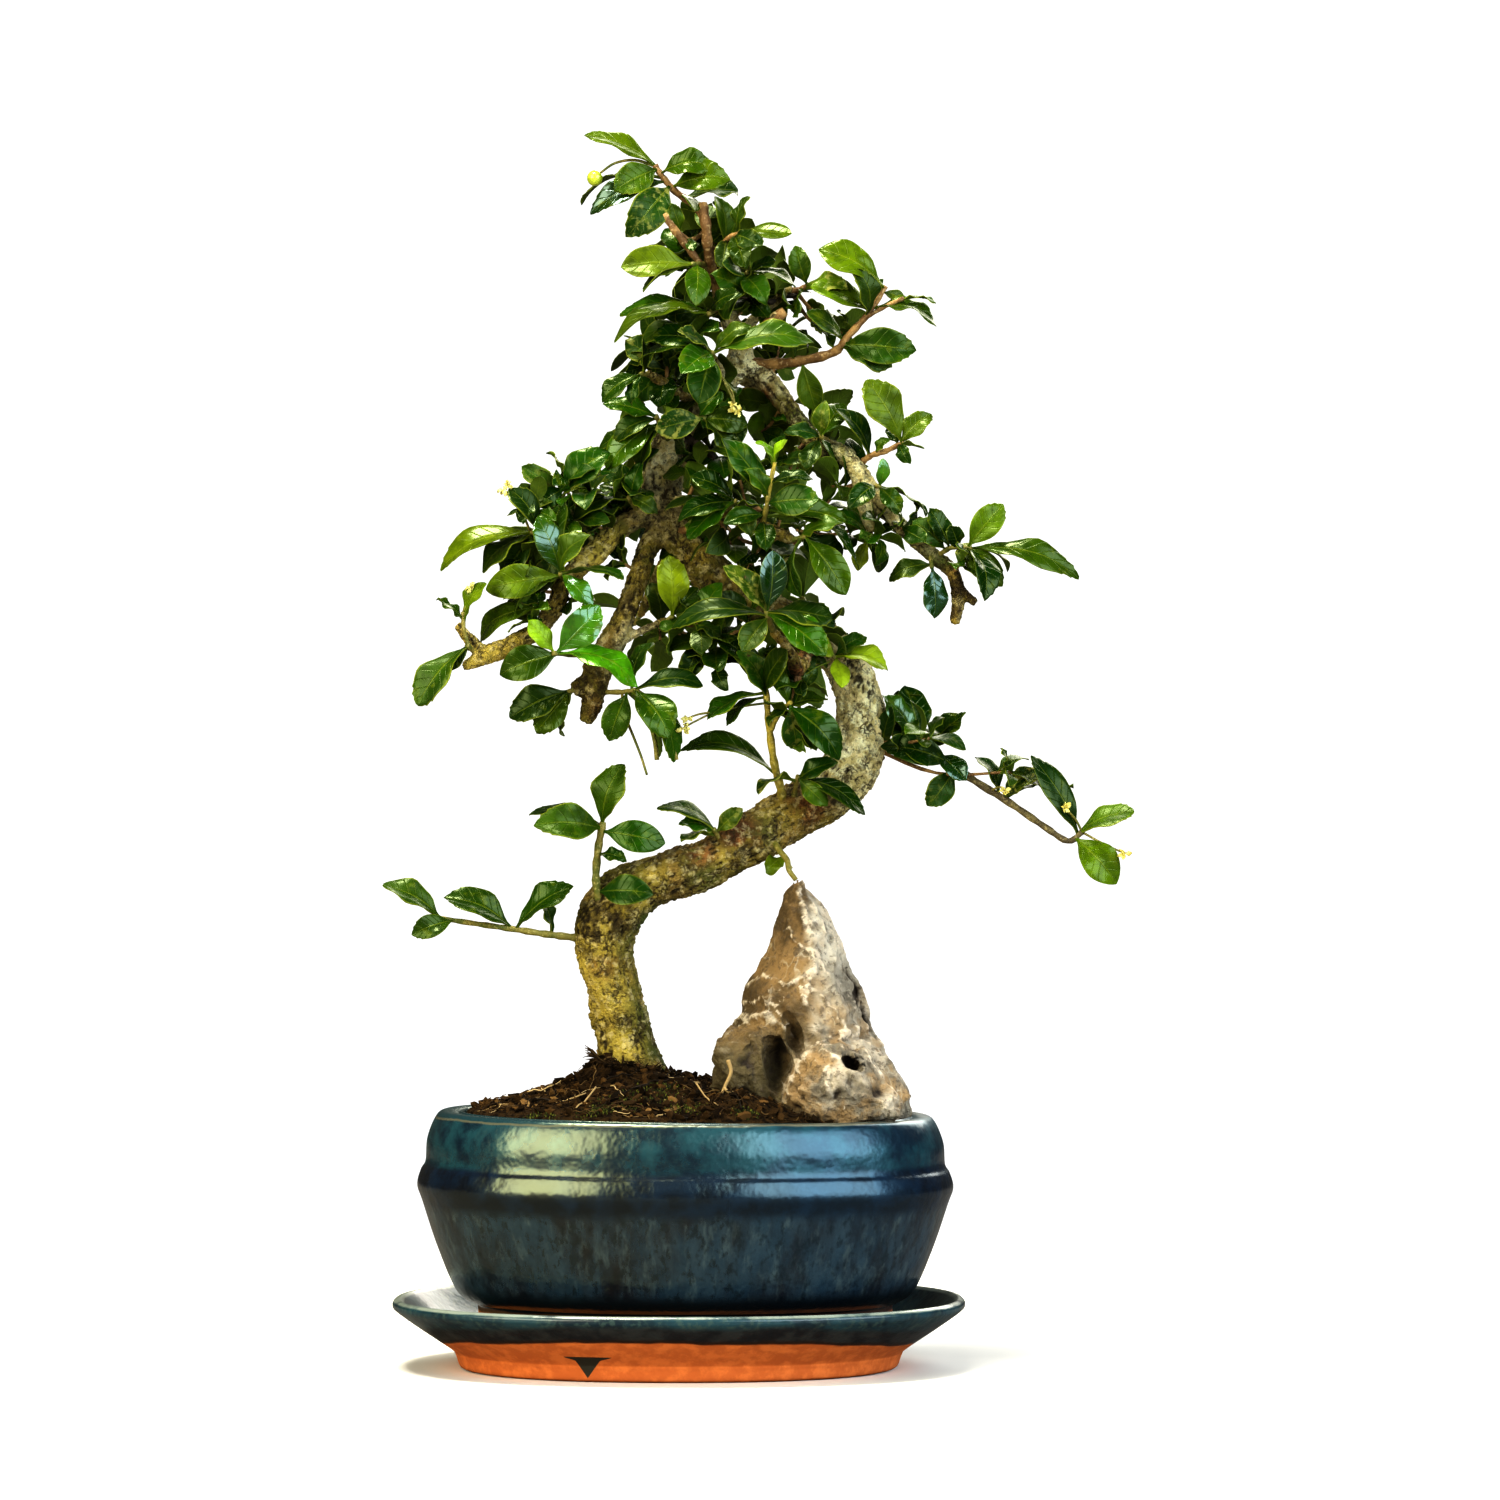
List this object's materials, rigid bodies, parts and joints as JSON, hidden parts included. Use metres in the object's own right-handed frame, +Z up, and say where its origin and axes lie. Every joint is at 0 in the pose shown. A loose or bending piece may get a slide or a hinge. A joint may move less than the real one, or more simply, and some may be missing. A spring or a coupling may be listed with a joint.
{
  "type": "fukien tea bonsai",
  "caption": "Small indoor bonsai with a winding trunk and glossy spoon-shaped leaves, beside a limestone pinnacle in a glazed oval pot on its saucer",
  "frame": {"origin": "the middle of the saucer's flat underside", "axes": "+X along the pot's length to the right as seen in the picture, +Y to the back, +Z up"},
  "size_m": [0.255, 0.1516, 0.4206],
  "materials": {
    "saucer_glaze": "gloss",
    "pot_glaze": "gloss",
    "screen_plastic": "matte",
    "soil": "matte",
    "limestone": "matte",
    "bark": "matte",
    "foliage": "satin"
  },
  "bodies": {
    "root": {"saucer": "saucer_glaze", "pot": "pot_glaze", "drain_screen_left": "screen_plastic", "drain_screen_right": "screen_plastic", "soil": "soil", "stone": "limestone", "trunk": "bark", "spray_apex": "foliage", "spray_upper_right": "foliage", "spray_upper_left": "foliage", "spray_left_shelf": "foliage", "spray_front_rosette": "foliage", "spray_upper_middle": "foliage", "spray_right_top": "foliage", "spray_right_top_twig": "foliage", "spray_right_limb_twig": "foliage", "spray_right_limb_top": "foliage", "spray_right_limb_side": "foliage", "spray_right_limb_tip": "foliage", "spray_right_limb_under": "foliage", "spray_right_limb_knot_leaves": "foliage", "spray_middle_shoot": "foliage", "spray_middle_left": "foliage", "spray_middle_rosette": "foliage", "spray_bend_shoot": "foliage", "spray_trunk_shoot": "foliage", "spray_bend_low_shoot": "foliage", "spray_front_limb_tip": "foliage", "spray_left_rosette": "foliage", "spray_left_fore_twig": "foliage", "spray_left_high_twig": "foliage", "spray_left_inner": "foliage", "spray_left_top": "foliage", "spray_left_middle": "foliage", "spray_right_limb_inner": "foliage", "spray_young_shoot": "foliage", "spray_left_end": "foliage", "spray_left_under": "foliage", "spray_hanging_left": "foliage", "spray_hanging_right": "foliage", "spray_hanging_spur": "foliage", "spray_low_left_twig": "foliage", "spray_low_shoot": "foliage", "spray_trunk_rise_shoot": "foliage", "spray_low_right_branch": "foliage", "spray_pendant_shoot": "foliage", "spray_back_left": "foliage", "spray_back_left_inner": "foliage", "spray_back_right": "foliage", "spray_back_right_inner": "foliage", "spray_back_low": "foliage", "spray_back_low_inner": "foliage", "spray_back_bend": "foliage", "spray_back_bend_inner": "foliage", "spray_back_middle": "foliage", "spray_back_middle_inner": "foliage", "spray_back_top": "foliage", "spray_back_crown": "foliage"}
  },
  "joints": []
}
